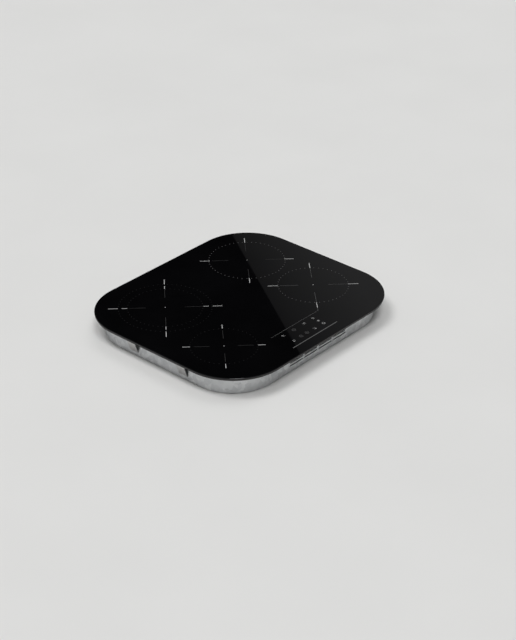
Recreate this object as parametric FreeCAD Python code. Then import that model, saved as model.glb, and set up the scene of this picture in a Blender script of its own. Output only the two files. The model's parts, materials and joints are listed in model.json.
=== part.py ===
import FreeCAD, Part
import math
import os
from FreeCAD import Vector as V

# Built-in induction cooktop with four cooking zones. Millimetres, +Z up, +X to the user's right,
# +Y away from the user. The origin is under the middle of the glass, level with the lowest ribs.

# ---------------------------------------------------------------- glass, seal and case
GLASS_X = 590.0            # glass, left to right
GLASS_Y = 510.0            # glass, front to back
GLASS_R = 130.0            # glass corner radius
GLASS_T = 4.0
ARRIS_TOP = 1.5            # rounding of the polished upper edge
ARRIS_LOW = 0.6            # rounding of the lower edge
SEAL_INSET = 1.5           # foam seal, from the glass edge
SEAL_W = 9.0
SEAL_T = 2.5
BODY_H = 49.0              # lowest rib to the top of the case flange
GLUE_T = 1.0               # silicone between flange and glass
GLUE_W = 4.5
GLUE_INSET = 18.0
SHEET = 0.8                # case sheet
CUTOUT_INSET = 15.0        # worktop cut-out, from the glass edge
FLANGE_INSET = 17.0        # case flange, from the glass edge
WALL_INSET = 24.0          # case wall, from the glass edge
LIP_W = 9.0                # lower lip that the bottom plate is screwed to
RIB_H = 1.6                # pressed ribs under the bottom plate
FIT = 0.2                  # clearance of parts that drop into a recess
RUN = 0.05                 # radial clearance of pins, screws and shafts in their holes
REST = 0.3                 # gap left under a sprung or soft contact
LAP = 0.1                  # overlap of solids that are fused
PAST = 1.0                 # how far a cutting solid stands past what it cuts
SAME = 1e-6                # two lengths closer than this are the same
LIP_SCREW_L = 5.0
LIP_SPREAD = 0.8           # outer lip screws, as a share of the way to the round corners
VENT_ROWS = (15.0, 22.0, 29.0, 36.0)        # heights of the slots in the walls
VENTS_FRONT = (-75.0, -25.0, 25.0, 75.0)    # and their middles
VENTS_REAR = (-115.0, 115.0)
RIB_ROWS = (-130.0, -40.0, 50.0)
RIB_L = 380.0
RIB_W = 14.0
FOOT_R = 11.0              # pressed feet, their centres in from the walls
FOOT_IN_X = 70.0
FOOT_IN_Y = 50.0
INTAKES = 12               # air slots to either side of the middle
INTAKE_PITCH = 12.0
INTAKE_L = 22.0
INTAKE_IN = 26.0           # in from the front wall
GUARD_RINGS = 4
GUARD_SPOKES = 6
GUARD_SPOKE_W = 3.2

# ---------------------------------------------------------------- coils
MICA_T = 0.5
WINDING_T = 5.0
DECK_T = 1.5               # coil former disc
FERRITE_T = 5.0
FERRITE_W = 10.0
CHANNEL_WALL = 1.2
CHANNEL_DROP = 0.5         # channel walls reach below the ferrites
CHANNEL_END = 1.0          # between neighbouring channels, and at the ends of a ferrite
WIRE_PITCH = 3.2           # one turn of litz wire
WINDING_INNER = 20.0       # inner radius of a winding
EDGE_MARGIN = 4.0          # former left free outside the winding
SENSOR_R = 5.0
SENSOR_NECK_R = 10.0
SENSOR_FLANGE_R = 14.0
SENSOR_FLANGE_T = 3.0
SENSOR_ROUND = 0.8
SENSOR_GAP = 1.0           # plug to the mica's level
ARCH_H = 7.0               # space for the leaf springs between plate and former
ARCH_L = 24.0
ARCH_W = 8.0
ARCH_T = 0.5
ARCH_FOOT = 5.0
ARCH_CROWN = 8.0
ARCH_AT = 0.72             # from the coil's centre, as a share of its radius
ARCHES = 3                 # under each coil
PLATE_T = 1.0              # aluminium coil plates
PLATE_GAP = 6.0            # between the left and the right plate
PLATE_CLEAR = 2.0          # plate to case wall
LEAD_D = 2.6               # litz lead
LEAD_HOLE_R = 4.0
BEND = 0.45                # share of the shorter run that a lead's bend takes

# name: centre x, centre y, coil radius, ferrites, inner radius of a separate outer ring (or 0)
ZONES = {
    "rear_left": (-139.5, 106.0, 105.0, 12, 85.0),
    "rear_right": (154.0, 118.0, 90.0, 6, 0.0),
    "front_right": (166.0, -78.5, 80.0, 6, 0.0),
    "front_left": (-175.5, -107.0, 72.5, 6, 0.0),
}
RING_WALL = 2.0            # wall between the inner and the outer winding

# ---------------------------------------------------------------- electronics
CARRIER_T = 2.0
CARRIER_MARGIN = 5.0
POST_H = 2.6               # from carrier floor to circuit board
POST_R = 3.5
POST_IN = 6.0              # from the board's edge
TRAY_R = 6.0               # corner radius of a carrier
TRAY_RIM = 2.0             # rim above the board
PCB_T = 1.6
BOARD_X = 190.0
BOARD_Y = 240.0
BOARD_CX = 125.0           # board centre, left and right of the middle
BOARD_CY = -32.0
SEMI_T = 5.0
CHIPS = ((-14.0, -70.0, 16.0, 21.0), (-14.0, -25.0, 16.0, 21.0), (-14.0, 20.0, 16.0, 21.0),
         (-14.0, 65.0, 16.0, 21.0), (14.0, 0.0, 20.0, 32.0))   # x, y from the heat sink's middle; size
SINK_BASE = 4.0
SINK_X = 56.0
SINK_Y = 196.0
SINK_H = 23.0
SINK_GAP = 8.0             # from the fan's duct
FIN_T = 1.5
FIN_COUNT = 10
SIDE_ROW = 26.0            # parts beside the heat sink
RELAY_EDGE = 24.0          # row of relays, from the board's left edge
RELAYS = (-100.0, -64.0, 40.0)              # from the board's middle
RELAY_X = 13.0
RELAY_Y = 29.0
RELAY_H = 20.0
RELAY_ROUND = 1.0
CHOKE_Y = -40.0
CHOKE_R = 15.0
CHOKE_H = 18.0
CORE_BORE = 0.45           # bore of a choke's core, and inside the turns, as shares of its radius
TURN_BORE = 0.38
TURNS = 16
TURN_W = 2.6
TURN_T = 1.4
FILMS = (-104.0, -84.0, -64.0, -44.0)       # film capacitors, from the board's middle
FILM_X = 36.0
FILM_Y = 16.0
FILM_H = 22.0
CAN_Y = 62.0
CAN_R = 9.0
CAN_H = 23.0
CAN_DX = 11.0
TERMINAL_R = 4.0
TERMINAL_H = 12.0
FILTER_X = 100.0
FILTER_Y = 78.0
FILTER_GAP = 12.0          # from the terminal box
FILTER_CHOKE_X = -26.0
FILTER_CHOKE_H = 17.0
FILTER_FILMS = (-24.0, -8.0)                # from the filter board's middle
FILTER_FILM_CX = 12.0
FILTER_FILM_X = 30.0
FILTER_FILM_Y = 12.0
FILTER_FILM_H = 19.0
FUSE_R = 3.0
FUSE_L = 28.0
FUSE_DY = 16.0
PILLAR_R = 4.0
PILLAR_BORE = 8.0
PILLAR_SCREW = 6.0         # screw in a pillar
# pillars: x to either side, and y in from the rear wall (positive) or the front wall (negative)
PILLARS = ((66.0, 41.0), (215.0, 81.0), (248.0, 226.0), (200.0, -51.0), (20.0, -41.0))

# lead terminals on the power boards: x, y and the zone that the lead goes to
LEADS = (
    (-212.0, -16.0, "front_left"), (-198.0, -16.0, "front_left"),
    (-104.0, -16.0, "rear_left"), (-92.0, -16.0, "rear_left"),
    (148.0, 15.5, "rear_right"), (160.0, 15.5, "rear_right"),
    (174.0, 15.5, "front_right"), (186.0, 15.5, "front_right"),
)

# ---------------------------------------------------------------- fans
FAN_CY = 155.0
FAN_H = 30.0
FAN_WALL = 1.5
FAN_R = 36.0               # impeller
VOLUTE_GAP = 7.0           # impeller to the round part of the housing
VOLUTE_SHIFT = 3.0
DUCT_W = 38.0
DUCT_L = 60.0
INLET_LAP = 8.0            # housing floor under the blades
BLADES = 24
BLADE_L = 10.0
BLADE_T = 1.2
BLADE_TILT = 32.0
HUB_R = 15.5
HUB_WALL = 1.5
SHAFT_R = 1.5
BEARING_R = 4.0
BEARING_Z = 12.0           # heights above the case floor, here to RING_T
STATOR_Z0 = 14.0
STATOR_Z1 = 25.0
CUP_Z0 = 8.0
CUP_Z1 = 25.5
RING_Z0 = 4.0
SHAFT_L = 18.0
RING_T = 1.5
RING_W = 3.0
BLADE_DY = -2.0
STATOR_R = 12.5
STATOR_POLES = 9
STATOR_GAP = 3.0
STATOR_HUB = 6.5
STATOR_RIM = 1.5

# ---------------------------------------------------------------- controls
PANEL_CX = -4.5
PANEL_FRONT = 27.0         # from the front edge of the glass
PANEL_X = 172.0
PANEL_Y = 68.0
PANEL_WALL = 1.8
PANEL_POST = 3.0           # carrier floor to the control board
PANEL_R = 4.0              # corner radius of the carrier, and of its inside
PANEL_R_IN = 3.0
PANEL_POST_R = 3.0
PANEL_POST_IN = 10.0       # posts, from the carrier's left and right ends
PANEL_POST_DY = 22.0
HEAD_CLEAR = 0.6           # round the pillar screws' heads
KEY_R = 4.5
KEY_WALL = 1.2
KEYS = ((-51.0, 17.0), (19.5, 17.0), (51.0, 17.5), (51.5, 2.0),
        (51.5, -13.5), (-51.0, -13.0), (19.2, -13.0))      # from the panel's centre
DIGITS = ((-16.2, 17.0), (-26.0, -12.5), (-6.0, -12.5))
DIGIT_X = 10.0
DIGIT_Y = 14.0
BUZZER_X = -71.5           # from the panel's centre
BUZZER_R = 5.5
BUZZER_WALL = 1.0
BUZZER_H = 5.0
RIBBON_X = 38.0
RIBBON_W = 10.0
RIBBON_T = 0.9
RIBBON_Y = 22.0            # from the panel's centre
RIBBON_LOW = 16.0          # level of its run over the board
RIBBON_DROP = 22.0         # level where it turns out of its drop
RIBBON_OUT = 8.0
RIBBON_SLIT = 5.0          # slit in the plate and the carrier
RIBBON_SIDE = 1.5          # slit beyond the ribbon's edges
SOCKET_Y = -137.5
SOCKET_D = 7.0
SOCKET_H = 4.0
SOCKET_SIDE = 2.0
SOCKET_RAMP = 6.0

# ---------------------------------------------------------------- terminal box in the rear wall
BOX_X = 110.0
BOX_D = 38.0
BOX_Z0 = 8.0
BOX_Z1 = 33.0
BOX_WALL = 2.0
BOX_RIM = 4.0              # front plate beyond the window in the case
LID_X0 = -53.0
LID_X1 = 23.0
LID_T = 2.0
LID_GAP = 0.3
LID_LAP = 3.0              # lid beyond the opening that it covers
LID_DROP = 1.0             # lid's upper edge below the front plate's
LID_FOOT = 2.0             # lid's lower edge above the hinge line
WEB_T = 2.5                # web between lid and knuckle
WEB_IN = 0.6
GRIP_X = 18.0
GRIP_T = 2.0
GRIP_REACH = 2.5
STRIPE_W = 2.0             # raised stripes on the lid
STRIPE_T = 0.8
STRIPE_FOOT = 8.0          # from the hinge line
STRIPE_END = 2.0           # below the box's top
HINGE_R = 1.5
KNUCKLE_R = 2.6
HINGE_Z = 6.7
EAR_X = 4.0
GLAND_X = 38.0
GLAND_R = 6.5
GLAND_WALL = 2.5
GLAND_L = 8.0
GLAND_IN = 4.0             # collar inside the wall

MAINS_XS = (-44.0, -31.0, -18.0, -5.0, 8.0)   # mains terminals
MAINS_Z = 18.0
MAINS_D = 2.4              # wires to the filter board
MAINS_OUT = 11.0           # straight out of the box, and where they meet the board
MAINS_END = 19.0
MAINS_LIFT = 1.0
MAINS_WIRES = 3
CLAMP_R = 3.0              # terminal screws
CLAMP_IN = 26.0            # in from the rear wall
CLAMP_H = 5.0
CLAMP_SLOT = 1.0
CLAMP_SLOT_D = 1.4
BLOCK_H = 15.0
BLOCK_IN = 13.0            # front of the terminal block, in from the rear wall
BLOCK_LEFT = 5.0           # beyond the outer terminals
BLOCK_RIGHT = 6.0
ENTRY_W = 6.0              # wire openings
ENTRY_D = 9.0
ENTRY_Z0 = 3.0
ENTRY_Z1 = 9.0

# ---------------------------------------------------------------- clips and screws
CLIP_W = 24.0
CLIP_T = 0.7
CLIP_BITE = 0.8            # how far a free clip stands past the cut-out edge
CLIP_Y = 75.0
CLIP_Z0 = 11.0             # where a clip hooks through the wall
CLIP_HOOK = 8.0            # height of the hook behind the wall
CLIP_Z1 = 45.0
CLIP_PLAY = 0.5            # in the wall's slot, up and down
CLIP_STEP = 1.0            # from the wall to the foot of the leaf
CLIP_FLAT = (12.0, 8.0)    # widest part, below the tip
CLIP_TIP = 3.5             # tip, outside the wall
SCREW_R = 1.8
HEAD_R = 3.4
HEAD_H = 1.4
HEAD_ROUND = 0.45          # rounding and cross recess, as shares of the head
CROSS_W = 1.0
CROSS_L = 1.2
CROSS_DEPTH = 0.4
SLOT_W = 3.2               # ventilation slots
SLOT_L = 44.0

# ---------------------------------------------------------------- levels
FLOOR = RIB_H + SHEET                       # inside of the bottom plate
GLASS_Z = BODY_H + GLUE_T                   # underside of the glass
MICA_Z = GLASS_Z - MICA_T
WINDING_Z = MICA_Z - WINDING_T
DECK_Z = WINDING_Z - DECK_T
FERRITE_Z = DECK_Z - FERRITE_T
PLATE_Z = DECK_Z - ARCH_H - PLATE_T         # underside of the coil plates
PLATE_TOP = PLATE_Z + PLATE_T
BOARD_Z = FLOOR + CARRIER_T + POST_H        # underside of the circuit boards
BOARD_TOP = BOARD_Z + PCB_T
WALL_X = GLASS_X / 2 - WALL_INSET           # outside of the case walls
WALL_Y = GLASS_Y / 2 - WALL_INSET
HINGE_Y = WALL_Y + BOX_WALL + LID_GAP + KNUCKLE_R + FIT
HOLE_R = SCREW_R + RUN
FILTER_CY = WALL_Y - BOX_D - FILTER_GAP - FILTER_Y / 2
PANEL_CY = PANEL_FRONT + PANEL_Y / 2 - GLASS_Y / 2
VOLUTE_R = FAN_R + VOLUTE_GAP
INLET_R = FAN_R - INLET_LAP
SINK_DX = VOLUTE_SHIFT - VOLUTE_R + DUCT_W / 2   # duct centre, from the fan centre
PANEL_BOARD_Z = PLATE_TOP + PANEL_WALL + PANEL_POST


# ================================================================ helpers
def box(x0, x1, y0, y1, z0, z1):
    return Part.makeBox(x1 - x0, y1 - y0, z1 - z0, V(x0, y0, z0))


def block(cx, cy, sx, sy, z0, z1):
    return box(cx - sx / 2, cx + sx / 2, cy - sy / 2, cy + sy / 2, z0, z1)


def rod(r, x, y, z0, z1):
    return Part.makeCylinder(r, z1 - z0, V(x, y, z0))


def rod_x(r, x0, x1, y, z):
    return Part.makeCylinder(r, x1 - x0, V(x0, y, z), V(1, 0, 0))


def rod_y(r, x, y0, y1, z):
    return Part.makeCylinder(r, y1 - y0, V(x, y0, z), V(0, 1, 0))


def tube(r_out, r_in, x, y, z0, z1):
    return rod(r_out, x, y, z0, z1).cut(rod(r_in, x, y, z0, z1))


def join(*solids):
    return solids[0].fuse(list(solids[1:])).removeSplitter() if len(solids) > 1 else solids[0]


def rounded(sx, sy, r, z0, z1, cx=0.0, cy=0.0):
    """A plate with four round corners."""
    hx, hy = sx / 2, sy / 2
    edges = []
    for qx, qy, start in ((1, 1, 0), (-1, 1, 90), (-1, -1, 180), (1, -1, 270)):
        centre = V(cx + qx * (hx - r), cy + qy * (hy - r), z0)
        edges.append(Part.makeCircle(r, centre, V(0, 0, 1), start, start + 90))
    wire = []
    for this, after in zip(edges, edges[1:] + edges[:1]):
        wire.append(this)
        a, b = this.Vertexes[-1].Point, after.Vertexes[0].Point
        if a.distanceToPoint(b) > SAME:
            wire.append(Part.makeLine(a, b))
    return Part.Face(Part.Wire(wire)).extrude(V(0, 0, z1 - z0))


def inset_plate(inset, z0, z1):
    """A plate whose outline runs parallel to the glass edge."""
    return rounded(GLASS_X - 2 * inset, GLASS_Y - 2 * inset, GLASS_R - inset, z0, z1)


def band(outer, inner, z0, z1):
    """A frame between two outlines parallel to the glass edge."""
    return inset_plate(outer, z0, z1).cut(inset_plate(inner, z0, z1))


def slot(length, width, x, y, z0, z1, along="x"):
    """A prism with round ends."""
    sx, sy = (length, width) if along == "x" else (width, length)
    return rounded(sx, sy, width / 2 - 0.01, z0, z1, x, y)


def at(shape, x, y, turn=0.0):
    """The shape moved to a place in plan, after a turn about its own vertical axis."""
    moved = shape.copy()
    moved.rotate(V(0, 0, 0), V(0, 0, 1), turn)
    moved.translate(V(x, y, 0))
    return moved


def strip(points, thickness, width_from, width_to, plane):
    """A bent strip: its section is a line of points with mitred corners, drawn in XZ or YZ."""
    count = len(points)
    normals = []
    for (a0, a1), (b0, b1) in zip(points, points[1:]):
        length = math.hypot(b0 - a0, b1 - a1)
        normals.append((-(b1 - a1) / length, (b0 - a0) / length))
    sides = ([], [])
    for k, (p0, p1) in enumerate(points):
        before, after = normals[max(k - 1, 0)], normals[min(k, count - 2)]
        n0, n1 = before[0] + after[0], before[1] + after[1]
        scale = thickness / (n0 * before[0] + n1 * before[1])
        for side, sign in zip(sides, (0.0, 1.0)):
            side.append((p0 + sign * n0 * scale, p1 + sign * n1 * scale))
    outline = sides[0] + sides[1][::-1]
    if plane == "xz":
        corners = [V(a, width_from, b) for a, b in outline]
        sweep = V(0, width_to - width_from, 0)
    else:
        corners = [V(width_from, a, b) for a, b in outline]
        sweep = V(width_to - width_from, 0, 0)
    return Part.Face(Part.makePolygon(corners + corners[:1])).extrude(sweep)


def cable(points, diameter):
    """A round lead: straight runs joined by arcs as large as the runs allow."""
    points = [V(*p) for p in points]
    edges, start = [], points[0]
    for a, b, c in zip(points, points[1:], points[2:]):
        into, out = (b - a).normalize(), (c - b).normalize()
        half_turn = into.getAngle(out) / 2
        back = BEND * min(a.distanceToPoint(b), b.distanceToPoint(c))
        p, q = b - into * back, b + out * back
        radius = back / math.tan(half_turn)
        middle = b + (out - into).normalize() * (radius / math.cos(half_turn) - radius)
        edges.append(Part.makeLine(start, p))
        edges.append(Part.Arc(p, middle, q).toShape())
        start = q
    edges.append(Part.makeLine(start, points[-1]))
    path = Part.Wire(edges)
    ring = Part.Wire(Part.makeCircle(diameter / 2, points[0], points[1] - points[0]))
    return path.makePipeShell([ring], True, False)


def screw(x, y, z, axis, length):
    """A pan head screw whose head stands on the plane through (x, y, z), towards axis."""
    axis = V(*axis)
    head = Part.makeCylinder(HEAD_R, HEAD_H, V(x, y, z), axis)
    rim = [e for e in head.Edges if abs((e.CenterOfMass - V(x, y, z)).dot(axis) - HEAD_H) < SAME]
    head = head.makeFillet(HEAD_H * HEAD_ROUND, rim[:1])
    shank = Part.makeCylinder(SCREW_R, length, V(x, y, z), axis * -1)
    bar = block(0, 0, CROSS_W, HEAD_R * CROSS_L, HEAD_H * CROSS_DEPTH, HEAD_H * (1 + CROSS_DEPTH))
    cross = bar.fuse(bar.rotated(V(0, 0, 0), V(0, 0, 1), 90))
    cross.Placement = FreeCAD.Placement(V(x, y, z), FreeCAD.Rotation(V(0, 0, 1), axis))
    return join(head, shank).cut(cross)


def save(name, *solids):
    for solid in solids:
        if not solid.isValid() or solid.Volume <= 0:
            raise ValueError("bad solid in " + name)
    found = [s for shape in solids for s in shape.Solids]
    Part.makeCompound(found).exportStep(os.path.join("parts", name + ".step"))
    print(name, len(found), round(sum(s.Volume for s in found)))


# ================================================================ glass, seal and case
def round_rim(plate, z, radius):
    """Rounds the outer edges of a plate that lie on one level."""
    rim = [e for e in plate.Edges if all(abs(v.Z - z) < SAME for v in e.Vertexes)]
    return plate.makeFillet(radius, rim)


def glass_top():
    plate = inset_plate(0, GLASS_Z, GLASS_Z + GLASS_T)
    return round_rim(round_rim(plate, GLASS_Z + GLASS_T, ARRIS_TOP), GLASS_Z, ARRIS_LOW)


def rim_seal():
    return band(SEAL_INSET, SEAL_INSET + SEAL_W, GLASS_Z - SEAL_T, GLASS_Z)


def glass_adhesive():
    return band(GLUE_INSET, GLUE_INSET + GLUE_W, BODY_H, GLASS_Z)


def lip_screw_spots():
    """Where the bottom plate is screwed to the lower lip, in plan."""
    inset = WALL_INSET + SHEET + LIP_W / 2
    hx, hy = GLASS_X / 2 - inset, GLASS_Y / 2 - inset
    r = GLASS_R - inset
    reach = r * math.cos(math.radians(45))
    spots = [(sx * (hx - r + reach), sy * (hy - r + reach)) for sx in (-1, 1) for sy in (-1, 1)]
    spots += [(sx * hx, 0.0) for sx in (-1, 1)]
    spots += [(sx * (hx - r) * LIP_SPREAD, sy * hy) for sy in (-1, 1) for sx in (-1, 1)]
    return spots


def side_frame():
    wall = band(WALL_INSET, WALL_INSET + SHEET, FLOOR, BODY_H)
    flange = band(FLANGE_INSET, WALL_INSET + SHEET, BODY_H - SHEET, BODY_H)
    lip = band(WALL_INSET, WALL_INSET + SHEET + LIP_W, FLOOR, FLOOR + SHEET)
    half = BOX_X / 2 + FIT
    holes = [block(0, WALL_Y, 2 * half, 4 * SHEET, BOX_Z0 - FIT, BOX_Z1 + FIT)]
    for z in VENT_ROWS:
        holes += [block(x, -WALL_Y, SLOT_L, 2 * PAST, z, z + SLOT_W) for x in VENTS_FRONT]
        holes += [block(x, WALL_Y, SLOT_L, 2 * PAST, z, z + SLOT_W) for x in VENTS_REAR]
    for side in (-1, 1):
        for y in (-CLIP_Y, CLIP_Y):
            holes.append(block(side * WALL_X, y, 4 * SHEET, CLIP_W + 2 * REST,
                               CLIP_Z0 - CLIP_PLAY, CLIP_Z0 + CLIP_T + CLIP_PLAY))
    for x, y in lip_screw_spots():
        holes.append(rod(HOLE_R, x, y, FLOOR - PAST, FLOOR + SHEET + PAST))
    return join(wall, flange, lip).cut(holes)


def fan_spots():
    return {"left": (-BOARD_CX, FAN_CY), "right": (BOARD_CX, FAN_CY)}


def guard_slots(x, y):
    """Ring-shaped air slots under a fan, parted by spokes."""
    rings = []
    for r in [INLET_R * k / GUARD_RINGS for k in range(1, GUARD_RINGS + 1)]:
        rings.append(tube(r + SLOT_W / 2, r - SLOT_W / 2, x, y, 0, FLOOR + PAST))
    spoke = box(0, INLET_R + SLOT_W, -GUARD_SPOKE_W / 2, GUARD_SPOKE_W / 2, 0, FLOOR + PAST)
    spokes = [at(spoke, x, y, 360.0 * k / GUARD_SPOKES) for k in range(GUARD_SPOKES)]
    return [ring.cut(spokes) for ring in rings]


def bottom_plate():
    plate = inset_plate(WALL_INSET, RIB_H, FLOOR)
    for y in RIB_ROWS:
        plate = plate.fuse(slot(RIB_L, RIB_W, 0, y, 0, RIB_H + LAP))
        plate = plate.cut(slot(RIB_L - 2 * SHEET, RIB_W - 2 * SHEET, 0, y, SHEET, FLOOR + PAST))
    for sx in (-1, 1):
        for sy in (-1, 1):
            x, y = sx * (WALL_X - FOOT_IN_X), sy * (WALL_Y - FOOT_IN_Y)
            plate = plate.fuse(rod(FOOT_R, x, y, 0, RIB_H + LAP))
            plate = plate.cut(rod(FOOT_R - SHEET, x, y, SHEET, FLOOR + PAST))
    holes = [s for x, y in fan_spots().values() for s in guard_slots(x, y)]
    for k in range(-INTAKES, INTAKES + 1):
        holes.append(slot(INTAKE_L, SLOT_W, INTAKE_PITCH * k, -WALL_Y + INTAKE_IN, 0, FLOOR + PAST, "y"))
    for x, y in lip_screw_spots():
        holes.append(rod(HOLE_R, x, y, 0, FLOOR + PAST))
    return plate.cut(holes).removeSplitter()


def bottom_screws():
    return [screw(x, y, RIB_H, (0, 0, -1), LIP_SCREW_L) for x, y in lip_screw_spots()]


def spring_clip(side, y):
    """A leaf hooked through the wall: up and out to the cut-out edge, then back in."""
    out = GLASS_X / 2 - CUTOUT_INSET + CLIP_BITE
    inside = WALL_X - SHEET - REST - CLIP_T
    section = [(inside, CLIP_Z0 + CLIP_HOOK), (inside, CLIP_Z0), (WALL_X + CLIP_STEP, CLIP_Z0)]
    section += [(out, CLIP_Z1 - below) for below in CLIP_FLAT] + [(WALL_X + CLIP_TIP, CLIP_Z1)]
    leaf = strip(section, CLIP_T, y - CLIP_W / 2, y + CLIP_W / 2, "xz")
    return leaf if side > 0 else leaf.mirror(V(0, 0, 0), V(1, 0, 0))


# ================================================================ coils
def ferrite_angles(count):
    return [360.0 * k / count for k in range(count)]


def channel_width():
    return FERRITE_W + 2 * FIT + 2 * CHANNEL_WALL


def channel_start(count):
    """Radius where the channels begin: the winding's own, or further out where they would meet."""
    return max(WINDING_INNER, channel_width() / (2 * math.tan(math.pi / count)) + CHANNEL_END)


def former(x, y, radius, count, ring):
    """Plastic disc with channels for the ferrites underneath."""
    deck = tube(radius, SENSOR_NECK_R + FIT, 0, 0, DECK_Z, WINDING_Z)
    parts = [deck]
    start, half = channel_start(count), channel_width() / 2
    for angle in ferrite_angles(count):
        outer = box(start, radius - EDGE_MARGIN, -half, half, FERRITE_Z - CHANNEL_DROP, DECK_Z)
        inner = box(start - PAST, radius, -half + CHANNEL_WALL, half - CHANNEL_WALL,
                    FERRITE_Z - CHANNEL_DROP, DECK_Z)
        parts.append(at(outer.cut(inner), 0, 0, angle))
    if ring:
        parts.append(tube(ring + RING_WALL / 2, ring - RING_WALL / 2, 0, 0, WINDING_Z, MICA_Z))
    return at(join(*parts), x, y)


def ferrites(x, y, radius, count):
    bar = box(channel_start(count) + CHANNEL_END, radius - EDGE_MARGIN - CHANNEL_END,
              -FERRITE_W / 2, FERRITE_W / 2, FERRITE_Z, DECK_Z)
    return [at(bar, x, y, angle) for angle in ferrite_angles(count)]


def winding(x, y, inner, outer):
    """A flat winding of litz wire: one round-topped turn beside another."""
    turns = int((outer - inner) // WIRE_PITCH)
    pitch = (outer - inner) / turns
    bulge = pitch / 6
    low, high = WINDING_Z + bulge, MICA_Z - bulge

    def arcs(points, z, lift):
        made = []
        for a, b in zip(points, points[1:]):
            made.append(Part.Arc(V(a, 0, z), V((a + b) / 2, 0, z + lift), V(b, 0, z)).toShape())
        return made

    stops = [inner + pitch * k for k in range(turns + 1)]
    top = arcs(stops, high, bulge)
    side = Part.makeLine(V(outer, 0, high), V(outer, 0, low))
    under = arcs(stops[::-1], low, -bulge)
    back = Part.makeLine(V(inner, 0, low), V(inner, 0, high))
    face = Part.Face(Part.Wire(top + [side] + under + [back]))
    return at(face.revolve(V(0, 0, 0), V(0, 0, 1), 360), x, y)


def windings(x, y, radius, ring):
    outer = radius - EDGE_MARGIN
    if not ring:
        return [winding(x, y, WINDING_INNER, outer)]
    return [winding(x, y, WINDING_INNER, ring - RING_WALL / 2 - REST),
            winding(x, y, ring + RING_WALL / 2 + REST, outer)]


def mica_disc(x, y, radius):
    return tube(radius, SENSOR_NECK_R, x, y, MICA_Z, GLASS_Z)


def sensor_holder(x, y):
    """Silicone plug that presses the temperature sensor to the glass."""
    flange = rod(SENSOR_FLANGE_R, x, y, DECK_Z - SENSOR_FLANGE_T, DECK_Z)
    neck = rod(SENSOR_NECK_R, x, y, DECK_Z, MICA_Z - SENSOR_GAP)
    return join(flange, neck).cut(rod(SENSOR_R + RUN, x, y, DECK_Z, GLASS_Z))


def sensor(x, y):
    cap = rod(SENSOR_R, x, y, DECK_Z, GLASS_Z)
    rim = [e for e in cap.Edges if abs(e.CenterOfMass.z - GLASS_Z) < SAME and e.Closed]
    return cap.makeFillet(SENSOR_ROUND, rim[:1])


def leaf_springs(x, y, radius, count):
    """Arched strips that hold a former up against the glass."""
    rise = ARCH_H - REST
    half = [(ARCH_L / 2, 0), (ARCH_L / 2 - ARCH_FOOT, 0), (ARCH_CROWN / 2, rise - ARCH_T)]
    section = [(-a, PLATE_TOP + b) for a, b in half] + [(a, PLATE_TOP + b) for a, b in half[::-1]]
    reach = radius * ARCH_AT
    springs = []
    for k in range(ARCHES):
        leaf = strip(section, ARCH_T, reach - ARCH_W / 2, reach + ARCH_W / 2, "yz")
        springs.append(at(leaf, x, y, 180.0 / count + 360.0 / ARCHES * k))
    return springs


def pillar_spots(side):
    return [(side * x, math.copysign(WALL_Y, inward) - inward) for x, inward in PILLARS]


def ribbon_slit(z0, z1):
    return block(RIBBON_X, PANEL_CY + RIBBON_Y, RIBBON_W + 2 * RIBBON_SIDE, RIBBON_SLIT, z0, z1)


def coil_plate(side):
    """Aluminium plate that carries two coils, with holes for their leads."""
    plate = inset_plate(WALL_INSET + SHEET + PLATE_CLEAR, PLATE_Z, PLATE_TOP)
    half = GLASS_X / 2
    keep = box(PLATE_GAP / 2, half, -GLASS_Y, GLASS_Y, PLATE_Z, PLATE_TOP)
    if side < 0:
        keep = box(-half, -PLATE_GAP / 2, -GLASS_Y, GLASS_Y, PLATE_Z, PLATE_TOP)
    plate = plate.common(keep)
    holes = [rod(HOLE_R, x, y, PLATE_Z, PLATE_TOP) for x, y in pillar_spots(side)]
    holes += [rod(LEAD_HOLE_R, x, y, PLATE_Z, PLATE_TOP) for x, y, _ in LEADS if x * side > 0]
    if side > 0:
        holes.append(ribbon_slit(PLATE_Z, PLATE_TOP))
    return plate.cut(holes)


def pillars():
    return [rod(PILLAR_R, x, y, FLOOR, PLATE_Z).cut(rod(HOLE_R, x, y, PLATE_Z - PILLAR_BORE, PLATE_Z))
            for side in (-1, 1) for x, y in pillar_spots(side)]


def pillar_screws():
    return [screw(x, y, PLATE_TOP, (0, 0, 1), PLATE_T + PILLAR_SCREW)
            for side in (-1, 1) for x, y in pillar_spots(side)]


def coil_leads():
    """Litz leads from the board terminals, up through the coil plates to the windings."""
    level = WINDING_Z + WINDING_T / 2
    leads = []
    for x, y, name in LEADS:
        cx, cy, radius, _, _ = ZONES[name]
        away = math.hypot(x - cx, y - cy)
        reach = (radius - EDGE_MARGIN + REST) / away
        end = (cx + (x - cx) * reach, cy + (y - cy) * reach, level)
        leads.append(cable([(x, y, BOARD_TOP + TERMINAL_H), (x, y, level), end], LEAD_D))
    return leads


def mains_wires():
    """Wires from the back of the terminal block down to the filter board."""
    y0 = WALL_Y - BOX_D + BOX_WALL
    return [cable([(x, y0, MAINS_Z), (x, y0 - MAINS_OUT, MAINS_Z),
                   (x, y0 - MAINS_END, BOARD_TOP + MAINS_LIFT)], MAINS_D) for x in MAINS_XS[:MAINS_WIRES]]


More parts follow.
